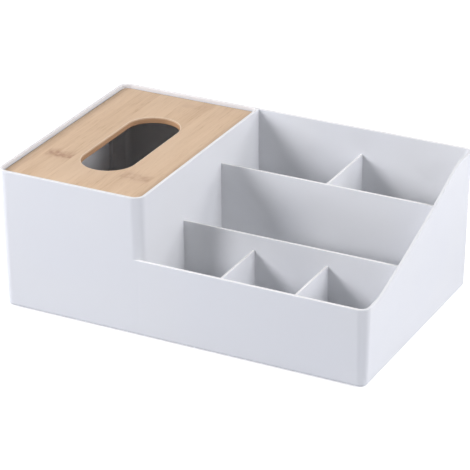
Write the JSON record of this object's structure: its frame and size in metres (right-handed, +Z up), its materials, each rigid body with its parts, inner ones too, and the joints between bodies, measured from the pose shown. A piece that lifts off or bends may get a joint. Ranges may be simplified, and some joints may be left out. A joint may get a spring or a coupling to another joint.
{
  "type": "makeup organizer",
  "caption": "Low white plastic tray with open bays behind a stepped, curved rim, and a taller tissue compartment under a lift-off bamboo lid with a hand slot.",
  "frame": {"origin": "centre of the footprint, on the surface that the foot pads stand on", "axes": "+X to the right along the front, from the tissue compartment to the tray; +Y from the front to the back; +Z up"},
  "size_m": [0.3, 0.192, 0.112],
  "materials": {
    "white_plastic": "satin, slightly bluish white moulded plastic",
    "bamboo": "sanded and clear-sealed laminated bamboo, strips front to back",
    "silicone": "matte, milky clear silicone"
  },
  "bodies": {
    "organizer": {"organizer_body": "white_plastic", "foot_pad_front_left": "silicone", "foot_pad_front_right": "silicone", "foot_pad_rear_left": "silicone", "foot_pad_rear_right": "silicone"},
    "lid": {"bamboo_lid": "bamboo"}
  },
  "joints": [
    {"name": "lid_lift", "type": "slide", "parent": "organizer", "child": "lid", "axis": [0, 0, 1], "range_m": [0, 0.06]}
  ]
}
